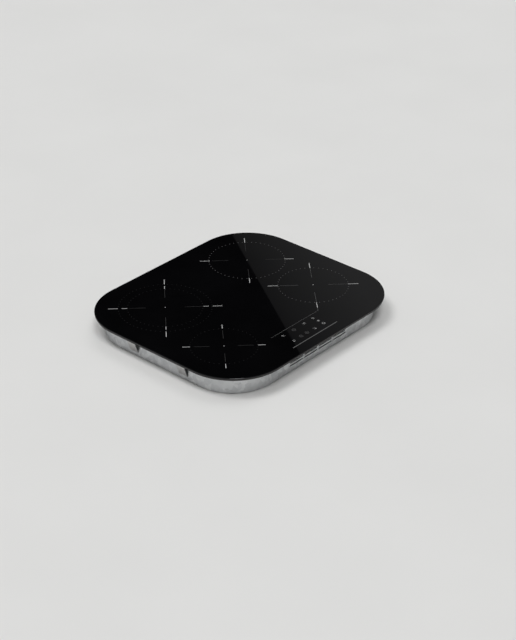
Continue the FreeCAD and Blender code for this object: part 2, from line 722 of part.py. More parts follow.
# ================================================================ electronics
def board_carrier(cx):
    """Plastic tray under a power board, with posts that hold the board."""
    sx, sy = BOARD_X + 2 * CARRIER_MARGIN, BOARD_Y + 2 * CARRIER_MARGIN
    base = rounded(sx, sy, TRAY_R, FLOOR, FLOOR + CARRIER_T, cx, BOARD_CY)
    hollow = rounded(sx - 2 * CARRIER_T, sy - 2 * CARRIER_T, TRAY_R - CARRIER_T,
                     FLOOR, BOARD_TOP + TRAY_RIM + PAST, cx, BOARD_CY)
    rim = rounded(sx, sy, TRAY_R, FLOOR, BOARD_TOP + TRAY_RIM, cx, BOARD_CY).cut(hollow)
    hx, hy = BOARD_X / 2 - POST_IN, BOARD_Y / 2 - POST_IN
    posts = [rod(POST_R, cx + dx, BOARD_CY + dy, FLOOR + CARRIER_T - LAP, BOARD_Z)
             for dx in (-hx, hx) for dy in (-hy, 0, hy)]
    return join(base, rim, *posts)


def power_board(cx):
    return block(cx, BOARD_CY, BOARD_X, BOARD_Y, BOARD_Z, BOARD_TOP)


def sink_place(cx):
    """Centre of a heat sink: in line with its fan's duct, just in front of it."""
    return cx + SINK_DX, FAN_CY - DUCT_L - SINK_GAP - SINK_Y / 2


def heat_sink(cx):
    x, y = sink_place(cx)
    z0 = BOARD_TOP + SEMI_T
    parts = [block(x, y, SINK_X, SINK_Y, z0, z0 + SINK_BASE)]
    step = (SINK_X - FIN_T) / (FIN_COUNT - 1)
    for k in range(FIN_COUNT):
        parts.append(block(x - SINK_X / 2 + FIN_T / 2 + step * k, y, FIN_T, SINK_Y,
                           z0 + SINK_BASE - LAP, BOARD_TOP + SINK_H))
    return join(*parts)


def semiconductors(cx):
    """Power transistors and the bridge rectifier, clamped flat under the heat sink."""
    x, y = sink_place(cx)
    return [block(x + dx, y + dy, sx, sy, BOARD_TOP, BOARD_TOP + SEMI_T) for dx, dy, sx, sy in CHIPS]


def capacitors(cx):
    """Film capacitors in boxes, and two electrolytic cans."""
    x = cx + SINK_DX + SINK_X / 2 + SIDE_ROW
    made = [block(x, BOARD_CY + dy, FILM_X, FILM_Y, BOARD_TOP, BOARD_TOP + FILM_H) for dy in FILMS]
    made += [rod(CAN_R, x + dx, CAN_Y, BOARD_TOP, BOARD_TOP + CAN_H) for dx in (-CAN_DX, CAN_DX)]
    return made


def choke(x, y, radius, height, z):
    """A wound ring core."""
    ring = tube(radius, radius * CORE_BORE, x, y, z, z + height)
    turn = box(radius * TURN_BORE, radius + TURN_T, -TURN_W / 2, TURN_W / 2, z, z + height)
    turns = [at(turn, x, y, 360.0 * k / TURNS) for k in range(TURNS)]
    return join(ring, *turns).cut(rod(radius * TURN_BORE, x, y, z, z + height))


def power_choke(cx):
    return choke(cx + SINK_DX + SINK_X / 2 + SIDE_ROW, CHOKE_Y, CHOKE_R, CHOKE_H, BOARD_TOP)


def relays(cx):
    x = cx - BOARD_X / 2 + RELAY_EDGE
    made = []
    for dy in RELAYS:
        body = block(x, BOARD_CY + dy, RELAY_X, RELAY_Y, BOARD_TOP, BOARD_TOP + RELAY_H)
        made.append(round_rim(body, BOARD_TOP + RELAY_H, RELAY_ROUND))
    return made


def lead_terminals():
    return [rod(TERMINAL_R, x, y, BOARD_TOP, BOARD_TOP + TERMINAL_H) for x, y, _ in LEADS]


def filter_carrier():
    return block(0, FILTER_CY, FILTER_X, FILTER_Y, FLOOR, BOARD_Z)


def filter_board():
    return block(0, FILTER_CY, FILTER_X, FILTER_Y, BOARD_Z, BOARD_TOP)


def filter_parts():
    """Mains choke, interference capacitors and fuse."""
    made = [choke(FILTER_CHOKE_X, FILTER_CY, CHOKE_R, FILTER_CHOKE_H, BOARD_TOP)]
    made += [block(FILTER_FILM_CX, FILTER_CY + dy, FILTER_FILM_X, FILTER_FILM_Y,
                   BOARD_TOP, BOARD_TOP + FILTER_FILM_H) for dy in FILTER_FILMS]
    made.append(rod_x(FUSE_R, FILTER_FILM_CX - FUSE_L / 2, FILTER_FILM_CX + FUSE_L / 2,
                      FILTER_CY + FUSE_DY, BOARD_TOP + FUSE_R + RUN))
    return made


# ================================================================ fans
def volute(x, y, grow, z0, z1):
    """Outline of the fan's spiral space and its outlet duct, grown by a wall."""
    round_part = rod(VOLUTE_R + grow, x + VOLUTE_SHIFT, y, z0, z1)
    left = x + VOLUTE_SHIFT - VOLUTE_R - grow
    duct = box(left, left + DUCT_W + 2 * grow, y - DUCT_L, y, z0, z1)
    return join(round_part, duct)


def fan_housing(x, y):
    outer = volute(x, y, FAN_WALL, FLOOR, FLOOR + FAN_H - FAN_WALL)
    inner = volute(x, y, 0, FLOOR + FAN_WALL, FLOOR + FAN_H)
    mouth = block(x + SINK_DX, y - DUCT_L, DUCT_W, 4 * FAN_WALL, FLOOR + FAN_WALL, FLOOR + FAN_H)
    return outer.cut([inner, mouth, rod(INLET_R, x, y, FLOOR, FLOOR + FAN_WALL)])


def fan_cover(x, y):
    """Top of a fan with the tube that carries the bearing."""
    top = FLOOR + FAN_H
    plate = volute(x, y, FAN_WALL, top - FAN_WALL, top)
    post = rod(BEARING_R, x, y, FLOOR + BEARING_Z, top - FAN_WALL + LAP)
    return join(plate, post).cut(rod(SHAFT_R + RUN, x, y, FLOOR + BEARING_Z - PAST, top - FAN_WALL))


def fan_stator(x, y):
    core = tube(STATOR_R, BEARING_R + RUN, x, y, FLOOR + STATOR_Z0, FLOOR + STATOR_Z1)
    gap = box(STATOR_HUB, STATOR_R - STATOR_RIM, -STATOR_GAP / 2, STATOR_GAP / 2,
              FLOOR + STATOR_Z0 - PAST, FLOOR + STATOR_Z1 + PAST)
    return core.cut([at(gap, x, y, 360.0 * k / STATOR_POLES) for k in range(STATOR_POLES)])


def impeller(x, y):
    low, high, foot = FLOOR + CUP_Z0, FLOOR + CUP_Z1, FLOOR + RING_Z0
    cup = rod(HUB_R, 0, 0, low, high).cut(rod(HUB_R - HUB_WALL, 0, 0, low + HUB_WALL, high))
    disc = tube(FAN_R, HUB_R - 2 * LAP, 0, 0, high - RING_T, high)
    ring = tube(FAN_R, FAN_R - RING_W, 0, 0, foot, foot + RING_T)
    blade = box(0, BLADE_L, -BLADE_T / 2, BLADE_T / 2, foot + RING_T - LAP, high - RING_T + LAP)
    blade.rotate(V(0, 0, 0), V(0, 0, 1), BLADE_TILT)
    blade.translate(V(FAN_R - BLADE_L, BLADE_DY, 0))
    trim = rod(FAN_R, 0, 0, foot, high)
    blades = [at(blade.common(trim), 0, 0, 360.0 * k / BLADES) for k in range(BLADES)]
    body = join(cup, disc, ring, *blades)
    return at(body.cut(rod(SHAFT_R, 0, 0, low - PAST, low + HUB_WALL + PAST)), x, y)


def fan_shaft(x, y):
    return rod(SHAFT_R, x, y, FLOOR + CUP_Z0, FLOOR + CUP_Z0 + SHAFT_L)


# ================================================================ controls
def control_carrier():
    """Plastic tray that stands on the coil plates and holds the touch board under the glass."""
    outer = rounded(PANEL_X, PANEL_Y, PANEL_R, PLATE_TOP, GLASS_Z - REST, PANEL_CX, PANEL_CY)
    inner = rounded(PANEL_X - 2 * PANEL_WALL, PANEL_Y - 2 * PANEL_WALL, PANEL_R_IN,
                    PLATE_TOP + PANEL_WALL, GLASS_Z, PANEL_CX, PANEL_CY)
    tray = outer.cut([inner, ribbon_slit(PLATE_TOP, PLATE_TOP + PANEL_WALL)])
    hx = PANEL_X / 2 - PANEL_POST_IN
    posts = [rod(PANEL_POST_R, PANEL_CX + dx, PANEL_CY + dy, PLATE_TOP + PANEL_WALL - LAP, PANEL_BOARD_Z)
             for dx in (-hx, 0, hx) for dy in (-PANEL_POST_DY, PANEL_POST_DY)]
    heads = [rod(HEAD_R + HEAD_CLEAR, x, y, PLATE_TOP - PAST, PLATE_TOP + PANEL_WALL + PAST)
             for side in (-1, 1) for x, y in pillar_spots(side)]
    return join(tray, *posts).cut(heads)


def control_board():
    less = 2 * (PANEL_WALL + FIT)
    return rounded(PANEL_X - less, PANEL_Y - less, PANEL_R_IN - FIT,
                   PANEL_BOARD_Z, PANEL_BOARD_Z + PCB_T, PANEL_CX, PANEL_CY)


def touch_pads():
    z0 = PANEL_BOARD_Z + PCB_T
    return [tube(KEY_R, KEY_R - KEY_WALL, PANEL_CX + x, PANEL_CY + y, z0, GLASS_Z) for x, y in KEYS]


def digit_displays():
    z0 = PANEL_BOARD_Z + PCB_T
    return [block(PANEL_CX + x, PANEL_CY + y, DIGIT_X, DIGIT_Y, z0, GLASS_Z - REST) for x, y in DIGITS]


def buzzer():
    z0 = PANEL_BOARD_Z + PCB_T
    return tube(BUZZER_R, BUZZER_WALL, PANEL_CX + BUZZER_X, PANEL_CY, z0, z0 + BUZZER_H)


def ribbon_cable():
    """Flat cable from the touch board, through the right plate, to the right power board."""
    y = PANEL_CY + RIBBON_Y
    section = [(y, PANEL_BOARD_Z), (y, RIBBON_DROP), (y + RIBBON_OUT, RIBBON_LOW),
               (SOCKET_Y - SOCKET_RAMP, RIBBON_LOW), (SOCKET_Y, BOARD_TOP + SOCKET_H)]
    return strip(section, RIBBON_T, RIBBON_X - RIBBON_W / 2, RIBBON_X + RIBBON_W / 2, "yz")


def ribbon_socket():
    return block(RIBBON_X, SOCKET_Y, RIBBON_W + 2 * SOCKET_SIDE, SOCKET_D, BOARD_TOP, BOARD_TOP + SOCKET_H)


# ================================================================ terminal box
def lid_opening():
    return box(LID_X0 + LID_LAP, LID_X1 - LID_LAP, WALL_Y - PAST, WALL_Y + BOX_WALL + PAST,
               BOX_Z0 + LID_LAP, BOX_Z1 - BOX_WALL)


def terminal_box():
    x = BOX_X / 2
    body = box(-x, x, WALL_Y - BOX_D, WALL_Y + LAP, BOX_Z0, BOX_Z1)
    body = body.cut(box(-x + BOX_WALL, x - BOX_WALL, WALL_Y - BOX_D + BOX_WALL, WALL_Y,
                        BOX_Z0 + BOX_WALL, BOX_Z1 - BOX_WALL))
    plate = box(-x - BOX_RIM, x + BOX_RIM, WALL_Y, WALL_Y + BOX_WALL, BOX_Z0 - BOX_RIM, BOX_Z1 + BOX_RIM)
    z = (BOX_Z0 + BOX_Z1) / 2
    collar = rod_y(GLAND_R + GLAND_WALL, GLAND_X, WALL_Y - GLAND_IN, WALL_Y - GLAND_IN + GLAND_L, z)
    ears = []
    for x0 in (LID_X0 - FIT - EAR_X, LID_X1 + FIT):
        ears.append(box(x0, x0 + EAR_X, WALL_Y, HINGE_Y, HINGE_Z - KNUCKLE_R, HINGE_Z + KNUCKLE_R))
        ears.append(rod_x(KNUCKLE_R, x0, x0 + EAR_X, HINGE_Y, HINGE_Z))
    bore = rod_y(GLAND_R, GLAND_X, WALL_Y - GLAND_IN - PAST, WALL_Y - GLAND_IN + GLAND_L + PAST, z)
    pin = rod_x(HINGE_R + RUN, LID_X0 - 2 * EAR_X, LID_X1 + 2 * EAR_X, HINGE_Y, HINGE_Z)
    wires = [rod_y(MAINS_D / 2 + FIT, wx, WALL_Y - BOX_D - PAST, WALL_Y - BOX_D + BOX_WALL + PAST, MAINS_Z)
             for wx in MAINS_XS[:MAINS_WIRES]]
    return join(body, plate, collar, *ears).cut([lid_opening(), bore, pin] + wires)


def terminal_lid():
    y0 = WALL_Y + BOX_WALL + LID_GAP
    top = BOX_Z1 + BOX_RIM - LID_DROP
    plate = box(LID_X0, LID_X1, y0, y0 + LID_T, HINGE_Z + LID_FOOT, top)
    knuckle = rod_x(KNUCKLE_R, LID_X0, LID_X1, HINGE_Y, HINGE_Z)
    web = box(LID_X0, LID_X1, y0 + WEB_IN, HINGE_Y, HINGE_Z, HINGE_Z + WEB_T)
    middle = (LID_X0 + LID_X1) / 2
    grip = box(middle - GRIP_X / 2, middle + GRIP_X / 2, y0, y0 + LID_T + GRIP_REACH, top - GRIP_T, top)
    stripes = [box(x - STRIPE_W / 2, x + STRIPE_W / 2, y0, y0 + LID_T + STRIPE_T,
                   HINGE_Z + STRIPE_FOOT, BOX_Z1 - STRIPE_END) for x in MAINS_XS]
    pin = rod_x(HINGE_R + RUN, LID_X0 - PAST, LID_X1 + PAST, HINGE_Y, HINGE_Z)
    return join(plate, knuckle, web, grip, *stripes).cut(pin)


def hinge_pin():
    return rod_x(HINGE_R, LID_X0 - FIT - EAR_X, LID_X1 + FIT + EAR_X, HINGE_Y, HINGE_Z)


def terminal_block():
    """Row of mains terminals with a clamp opening and a screw for each wire."""
    z0 = BOX_Z0 + BOX_WALL
    front = WALL_Y - BLOCK_IN
    body = box(MAINS_XS[0] - BLOCK_LEFT, MAINS_XS[-1] + BLOCK_RIGHT, WALL_Y - BOX_D + BOX_WALL, front,
               z0, z0 + BLOCK_H)
    holes = [box(x - ENTRY_W / 2, x + ENTRY_W / 2, front - ENTRY_D, front, z0 + ENTRY_Z0, z0 + ENTRY_Z1)
             for x in MAINS_XS]
    holes += [rod(CLAMP_R + RUN, x, WALL_Y - CLAMP_IN, z0 + ENTRY_Z1, z0 + BLOCK_H) for x in MAINS_XS]
    return body.cut(holes)


def terminal_screws():
    z0 = BOX_Z0 + BOX_WALL + ENTRY_Z1
    y, top = WALL_Y - CLAMP_IN, z0 + CLAMP_H
    return [rod(CLAMP_R, x, y, z0, top).cut(block(x, y, 2 * CLAMP_R, CLAMP_SLOT, top - CLAMP_SLOT_D, top))
            for x in MAINS_XS]


# ================================================================ the whole cooktop
def main():
    os.makedirs("parts", exist_ok=True)
    save("glass_top", glass_top())
    save("rim_seal", rim_seal())
    save("glass_adhesive", glass_adhesive())
    save("side_frame", side_frame())
    save("bottom_plate", bottom_plate())
    save("bottom_screws", *bottom_screws())
    for side_name, side in (("left", -1), ("right", 1)):
        save("clip_front_" + side_name, spring_clip(side, -CLIP_Y))
        save("clip_rear_" + side_name, spring_clip(side, CLIP_Y))
        save("coil_plate_" + side_name, coil_plate(side))

    for name, (x, y, radius, count, ring) in ZONES.items():
        save("coil_former_" + name, former(x, y, radius, count, ring))
        save("winding_" + name, *windings(x, y, radius, ring))
    zones = ZONES.values()
    save("ferrites", *[bar for x, y, radius, count, _ in zones for bar in ferrites(x, y, radius, count)])
    save("mica_discs", *[mica_disc(x, y, radius) for x, y, radius, _, _ in zones])
    save("sensor_holders", *[sensor_holder(x, y) for x, y, _, _, _ in zones])
    save("temperature_sensors", *[sensor(x, y) for x, y, _, _, _ in zones])
    save("coil_leaf_springs", *[leaf for x, y, radius, count, _ in zones
                                for leaf in leaf_springs(x, y, radius, count)])
    save("pillars", *pillars())
    save("pillar_screws", *pillar_screws())
    save("internal_wires", *coil_leads(), *mains_wires())

    pair = (-BOARD_CX, BOARD_CX)
    save("board_carriers", *[board_carrier(cx) for cx in pair])
    save("power_boards", *[power_board(cx) for cx in pair])
    save("heat_sinks", *[heat_sink(cx) for cx in pair])
    save("semiconductors", *[chip for cx in pair for chip in semiconductors(cx)])
    save("capacitors", *[can for cx in pair for can in capacitors(cx)])
    save("power_chokes", *[power_choke(cx) for cx in pair])
    save("relays", *[relay for cx in pair for relay in relays(cx)])
    save("lead_terminals", *lead_terminals())
    save("filter_carrier", filter_carrier())
    save("filter_board", filter_board())
    save("filter_parts", *filter_parts())

    for side_name, (x, y) in fan_spots().items():
        save("fan_housing_" + side_name, fan_housing(x, y))
        save("fan_cover_" + side_name, fan_cover(x, y))
        save("fan_impeller_" + side_name, impeller(x, y))
        save("fan_shaft_" + side_name, fan_shaft(x, y))
    save("fan_stators", *[fan_stator(x, y) for x, y in fan_spots().values()])

    save("control_carrier", control_carrier())
    save("control_board", control_board())
    save("touch_pads", *touch_pads())
    save("digit_displays", *digit_displays())
    save("buzzer", buzzer())
    save("ribbon_cable", ribbon_cable())
    save("ribbon_socket", ribbon_socket())

    save("terminal_box", terminal_box())
    save("terminal_lid", terminal_lid())
    save("hinge_pin", hinge_pin())
    save("terminal_block", terminal_block())
    save("terminal_screws", *terminal_screws())


main()
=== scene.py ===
import json
import math

import bmesh
import bpy
from mathutils import Euler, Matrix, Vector


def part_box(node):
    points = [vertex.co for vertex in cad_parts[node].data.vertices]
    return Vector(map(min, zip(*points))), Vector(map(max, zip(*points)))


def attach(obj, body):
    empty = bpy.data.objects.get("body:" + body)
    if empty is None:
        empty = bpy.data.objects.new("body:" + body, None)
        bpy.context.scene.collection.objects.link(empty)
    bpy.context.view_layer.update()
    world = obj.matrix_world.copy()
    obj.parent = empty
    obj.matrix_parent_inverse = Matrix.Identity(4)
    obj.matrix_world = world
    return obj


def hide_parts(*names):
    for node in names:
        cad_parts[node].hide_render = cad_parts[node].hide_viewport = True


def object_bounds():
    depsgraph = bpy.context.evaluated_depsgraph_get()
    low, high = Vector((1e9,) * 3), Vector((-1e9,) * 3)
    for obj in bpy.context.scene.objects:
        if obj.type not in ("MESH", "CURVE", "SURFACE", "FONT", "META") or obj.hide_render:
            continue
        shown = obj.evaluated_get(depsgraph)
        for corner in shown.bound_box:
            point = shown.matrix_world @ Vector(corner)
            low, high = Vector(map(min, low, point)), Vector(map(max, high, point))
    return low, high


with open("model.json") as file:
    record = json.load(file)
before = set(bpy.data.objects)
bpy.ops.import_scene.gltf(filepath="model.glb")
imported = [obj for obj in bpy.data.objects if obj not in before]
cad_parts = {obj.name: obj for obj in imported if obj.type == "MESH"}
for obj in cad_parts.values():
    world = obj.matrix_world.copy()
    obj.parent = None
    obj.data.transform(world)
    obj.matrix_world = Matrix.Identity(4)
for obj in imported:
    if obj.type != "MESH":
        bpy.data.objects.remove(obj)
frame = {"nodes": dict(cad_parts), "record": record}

CAD_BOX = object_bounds()

# ---------------------------------------------------------------- sizes, in metres
GLASS_LOW, GLASS_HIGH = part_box("glass_top")
GLASS_R = 0.130            # corner radius of the glass
ARRIS_TOP = 0.0015         # rounding of its upper edge
ARRIS_LOW = 0.0006
CORNER_STEPS = 40          # facets in a round corner
EDGE_STEPS = 8             # facets in a rounded edge
INK_RISE = 0.00003         # printed enamel above the glass
INK_SINK = 0.00001         # and into it
TOP = GLASS_HIGH.z

# zone: centre x, centre y, dotted rings (radius, dots), tick from and to, line from and to
ZONES = {
    "rear_left": (-0.1395, 0.1062, ((0.1070, 61), (0.0860, 49)), (0.1076, 0.1302), (0.0448, 0.0830)),
    "rear_right": (0.1540, 0.1177, ((0.0914, 52),), (0.0888, 0.1125), (0.0450, 0.0842)),
    "front_right": (0.1660, -0.0782, ((0.0825, 47),), (0.0822, 0.1063), (0.0354, 0.0792)),
    "front_left": (-0.1754, -0.1071, ((0.0747, 42),), (0.0749, 0.0917), (0.0315, 0.0662)),
}
INNER_TICK = (0.0863, 0.0990)   # second set of ticks on the double zone
TICK_W = 0.0015
LINE_W = 0.0006
DOT_R = 0.0009
CENTRE_R = 0.0011
DOT_STEPS = 12             # facets of a dot and of a ring
RING_STEPS = 32

# printed enamel: how light each ink is
INKS = {"tick": 0.48, "command": 0.42, "key": 0.31, "ring": 0.14, "line": 0.12, "setting": 0.095,
        "hairline": 0.05, "trace": 0.017}
ZONE_INKS = {"rear_left": ("trace", "hairline"), "rear_right": ("ring", "hairline"),
             "front_right": ("ring", "line"), "front_left": ("trace", "hairline")}   # dots, lines

# the panel's lines and rows of keys keep their distance from the front edge of the glass
FRONT = GLASS_LOW.y
PANEL_LEFT, PANEL_RIGHT = -0.081, 0.072
PANEL_REAR, PANEL_FRONT = FRONT + 0.0925, FRONT + 0.0290
BAR_W = 0.0020
KEY_LEFT, KEY_MIDDLE, KEY_RIGHT = -0.0555, 0.0150, 0.0468
KEY_Y_REAR, KEY_Y_FRONT = FRONT + 0.0780, FRONT + 0.0480
SELECT_STEP = 0.0021       # zone selector: its four marks, from its middle
SELECT_DOT_R = 0.0008
SELECT_SQUARE = 0.0032     # the mark of the zone itself
STROKE = 0.0009            # strokes of the bright symbols
CHEVRONS = (-0.0022, 0.0014)    # their feet, from the row's middle
CHEVRON_H = 0.0030
CHEVRON_TIP = 0.0002       # how far the two strokes cross
PAUSE_DX = 0.0014
PAUSE_FROM, PAUSE_TO = FRONT + 0.0600, FRONT + 0.0655
PAUSE_W = 0.0013
POWER_DROP = 0.0005        # power ring: below the row's middle, radius, open towards the rear
POWER_R = 0.0034
POWER_START, POWER_SWEEP = 125, 290
POWER_BAR = (0.0016, 0.0044)    # from the row's middle
DIM_STROKE = 0.0008        # strokes of the dim symbols
TIMER_X = -0.0207
SIGN_MINUS, SIGN_PLUS = -0.0303, -0.0103
SIGN_Y = FRONT + 0.0486
RING_R = 0.0042
HAND_LONG, HAND_SHORT = 0.0028, 0.0020
SIGN_REACH = 0.0022

# where the dark and the light reflection meet, as the camera sees them in the glass
SHEEN_REAR = Vector((0.2238, 0.2250))
SHEEN_FRONT = Vector((-0.0898, -0.2541))
SHEEN_REACH = 0.75         # how far each card reaches, seen in the glass
SHEEN_PAST = 0.3           # and past the two points
SHEEN_LIGHT = (0.058, 0.170)    # grey card: its light at the line and in the lightest part
SHEEN_RAMP = 0.36
CARD_RISE = 1.2            # cards above the glass
FLOOR_REACH = 40.0
ROOM_LIGHT = 0.2
BACKDROP = (0.68, 0.68, 0.67)

# lamps: azimuth and elevation they shine from, strength, width, whether polished faces mirror them
LAMPS = {
    "key": (-120, 66, 1.15, 26, False),
    "fill_front": (-38, 62, 1.05, 20, True),
    "fill_right": (100, 66, 0.35, 36, False),
}

# camera: where it aims on the glass, from where it looks, and its lens
AIM = Vector((-0.0415, -0.0890, TOP))
AZIMUTH, ELEVATION, DISTANCE, ROLL = -48.91, 30.48, 3.803, 0.33
LENS = 95.05


# ================================================================ material building blocks
class Shade:
    """A procedural material: a Principled shader and the texture nodes that feed it."""

    def __init__(self, name, **values):
        self.material = bpy.data.materials.new(name)
        self.material.use_nodes = True
        self.nodes = self.material.node_tree.nodes
        self.links = self.material.node_tree.links
        self.shader = self.nodes["Principled BSDF"]
        for socket, value in values.items():
            self.shader.inputs[socket.replace("_", " ")].default_value = value
        self.place = self.nodes.new("ShaderNodeTexCoord").outputs["Object"]

    def link(self, source, target):
        self.links.new(source, target)

    def stretched(self, x, y, z):
        """Object coordinates scaled by axis, for streaks."""
        node = self.nodes.new("ShaderNodeMapping")
        node.inputs["Scale"].default_value = (x, y, z)
        self.link(self.place, node.inputs["Vector"])
        return node.outputs["Vector"]

    def noise(self, scale, detail=3.0, roughness=0.5, at=None):
        node = self.nodes.new("ShaderNodeTexNoise")
        node.inputs["Scale"].default_value = scale
        node.inputs["Detail"].default_value = detail
        node.inputs["Roughness"].default_value = roughness
        self.link(at or self.place, node.inputs["Vector"])
        return node.outputs["Fac"]

    def cells(self, scale, output="Distance"):
        node = self.nodes.new("ShaderNodeTexVoronoi")
        node.inputs["Scale"].default_value = scale
        self.link(self.place, node.inputs["Vector"])
        return node.outputs[output]

    def wave(self, scale, direction="X", distortion=0.0, at=None):
        node = self.nodes.new("ShaderNodeTexWave")
        node.bands_direction = direction
        node.inputs["Scale"].default_value = scale
        node.inputs["Distortion"].default_value = distortion
        self.link(at or self.place, node.inputs["Vector"])
        return node.outputs["Fac"]

    def math(self, operation, a, b=0.0):
        node = self.nodes.new("ShaderNodeMath")
        node.operation = operation
        for socket, value in zip(node.inputs, (a, b)):
            if isinstance(value, (int, float)):
                socket.default_value = value
            else:
                self.link(value, socket)
        return node.outputs["Value"]

    def spread(self, factor, low, high, start=0.0, end=1.0):
        """A factor from start to end turned into a value from low to high."""
        node = self.nodes.new("ShaderNodeMapRange")
        for socket, value in zip(("From Min", "From Max", "To Min", "To Max"), (start, end, low, high)):
            node.inputs[socket].default_value = value
        self.link(factor, node.inputs["Value"])
        return node.outputs["Result"]

    def colours(self, factor, *stops):
        """A colour ramp: each stop is (position, (r, g, b))."""
        node = self.nodes.new("ShaderNodeValToRGB")
        ramp = node.color_ramp
        for element, (position, colour) in zip(ramp.elements, stops):
            element.position = position
            element.color = (*colour, 1.0)
        for position, colour in stops[2:]:
            ramp.elements.new(position).color = (*colour, 1.0)
        self.link(factor, node.inputs["Fac"])
        return node.outputs["Color"]

    def base(self, colour):
        self.link(colour, self.shader.inputs["Base Color"])
        return self

    def rough(self, value):
        self.link(value, self.shader.inputs["Roughness"])
        return self

    def bump(self, height, depth, strength=1.0):
        """Relief of the given depth in metres."""
        node = self.nodes.new("ShaderNodeBump")
        node.inputs["Distance"].default_value = depth
        node.inputs["Strength"].default_value = strength
        self.link(height, node.inputs["Height"])
        before = self.shader.inputs["Normal"].links
        if before:
            self.link(before[0].from_socket, node.inputs["Normal"])
        self.link(node.outputs["Normal"], self.shader.inputs["Normal"])
        return self


def grey(value):
    return (value, value, value)


# ================================================================ materials
def black_glass():
    """Glass-ceramic: near black all through, polished, with the faintest wipe marks."""
    s = Shade("black_glass", IOR=1.52)
    cloud = s.noise(9.0, 4.0)
    s.base(s.colours(cloud, (0.3, (0.0016, 0.0016, 0.0019)), (0.7, (0.0026, 0.0026, 0.0030))))
    wiped = s.noise(30.0, 5.0, 0.6, s.stretched(1.0, 0.35, 1.0))
    s.rough(s.spread(wiped, 0.012, 0.040, 0.35, 0.75))
    return s.bump(s.noise(26.0, 1.0), 0.0000015).material


def enamel(name, light):
    """Screen-printed enamel: a little grainy, so that the colour is thinner here and there."""
    s = Shade(name, IOR=1.5, Specular_IOR_Level=0.2)
    grain = s.noise(2600.0, 2.0)
    s.base(s.colours(grain, (0.30, grey(light * 0.85)), (0.62, grey(light * 1.1))))
    s.rough(s.spread(grain, 0.34, 0.55))
    return s.bump(grain, 0.000008, 0.5).material


def galvanised():
    """Zinc-coated sheet with its frosted spangle."""
    s = Shade("galvanised", Metallic=1.0)
    warped = s.noise(60.0, 3.0)
    spangle = s.cells(95.0, "Color")
    tone = s.math("ADD", s.math("MULTIPLY", spangle, 0.7), s.math("MULTIPLY", warped, 0.3))
    s.base(s.colours(tone, (0.15, (0.46, 0.47, 0.48)), (0.55, (0.58, 0.59, 0.60)),
                     (0.85, (0.70, 0.71, 0.71))))
    s.rough(s.spread(tone, 0.30, 0.52))
    s.bump(s.cells(95.0, "Distance"), 0.00003, 0.35)
    return s.bump(s.noise(900.0, 2.0), 0.000006, 0.6).material


def spring_steel():
    s = Shade("spring_steel", Metallic=1.0)
    grain = s.noise(140.0, 4.0, 0.6, s.stretched(8.0, 1.0, 8.0))
    s.base(s.colours(grain, (0.25, (0.40, 0.40, 0.41)), (0.75, (0.62, 0.61, 0.59))))
    s.rough(s.spread(grain, 0.22, 0.42))
    return s.bump(grain, 0.00001, 0.4).material


def zinc_screw():
    """Clear passivated zinc, faintly yellow and blue in patches."""
    s = Shade("zinc_screw", Metallic=1.0)
    patch = s.noise(420.0, 3.0)
    s.base(s.colours(patch, (0.30, (0.52, 0.54, 0.58)), (0.70, (0.68, 0.65, 0.56))))
    s.rough(s.spread(patch, 0.20, 0.38))
    return s.bump(s.noise(2600.0, 2.0), 0.00001, 0.5).material


def rolled_aluminium(name, low, high, axis):
    """Aluminium with the fine lines of rolling or extrusion along one axis."""
    s = Shade(name, Metallic=1.0)
    across = {"x": (0.04, 1.0, 1.0), "y": (1.0, 0.04, 1.0)}[axis]
    lines = s.noise(900.0, 3.0, 0.6, s.stretched(*across))
    s.base(s.colours(lines, (0.2, grey(low)), (0.8, grey(high))))
    s.rough(s.spread(lines, 0.28, 0.46))
    return s.bump(lines, 0.000008, 0.5).material


def foam():
    """Closed-cell foam strip."""
    s = Shade("foam_seal")
    pores = s.cells(900.0)
    s.base(s.colours(pores, (0.05, grey(0.006)), (0.6, grey(0.022))))
    s.rough(s.spread(pores, 0.75, 0.95))
    return s.bump(pores, 0.0002, 0.8).material


def moulded(name, colour, gloss, grain=1400.0):
    """Injection-moulded plastic with a spark-eroded grain."""
    s = Shade(name)
    cloud = s.noise(40.0, 3.0)
    dark = tuple(c * 0.82 for c in colour)
    s.base(s.colours(cloud, (0.3, dark), (0.7, colour)))
    texture = s.noise(grain, 2.0)
    s.rough(s.spread(texture, gloss, gloss + 0.14))
    return s.bump(texture, 0.00003, 0.5).material


def silicone(name, colour):
    s = Shade(name)
    cloud = s.noise(120.0, 3.0)
    s.base(s.colours(cloud, (0.3, tuple(c * 0.8 for c in colour)), (0.7, colour)))
    s.rough(s.spread(cloud, 0.38, 0.55))
    return s.bump(s.noise(300.0, 2.0), 0.00006, 0.5).material


def litz(name, centre):
    """Enamelled copper strands twisted into a rope that runs round the centre."""
    s = Shade(name, Metallic=1.0)
    split = s.nodes.new("ShaderNodeSeparateXYZ")
    s.link(s.place, split.inputs["Vector"])
    dx = s.math("SUBTRACT", split.outputs["X"], centre.x)
    dy = s.math("SUBTRACT", split.outputs["Y"], centre.y)
    turn = s.math("ARCTAN2", dy, dx)
    radius = s.math("SQRT", s.math("ADD", s.math("MULTIPLY", dx, dx), s.math("MULTIPLY", dy, dy)))
    along = s.math("MULTIPLY", turn, 190.0)
    across = s.math("MULTIPLY", radius, 3900.0)
    strand = s.spread(s.math("SINE", s.math("ADD", along, across)), 0.0, 1.0, -1.0, 1.0)
    s.base(s.colours(strand, (0.05, (0.13, 0.035, 0.012)), (0.75, (0.62, 0.25, 0.11))))
    s.rough(s.spread(strand, 0.42, 0.26))
    return s.bump(strand, 0.00022, 0.8).material


def ferrite():
    s = Shade("ferrite")
    grain = s.noise(1500.0, 4.0)
    s.base(s.colours(grain, (0.3, (0.016, 0.016, 0.018)), (0.75, (0.055, 0.055, 0.060))))
    s.rough(s.spread(grain, 0.42, 0.68))
    return s.bump(grain, 0.00004, 0.6).material


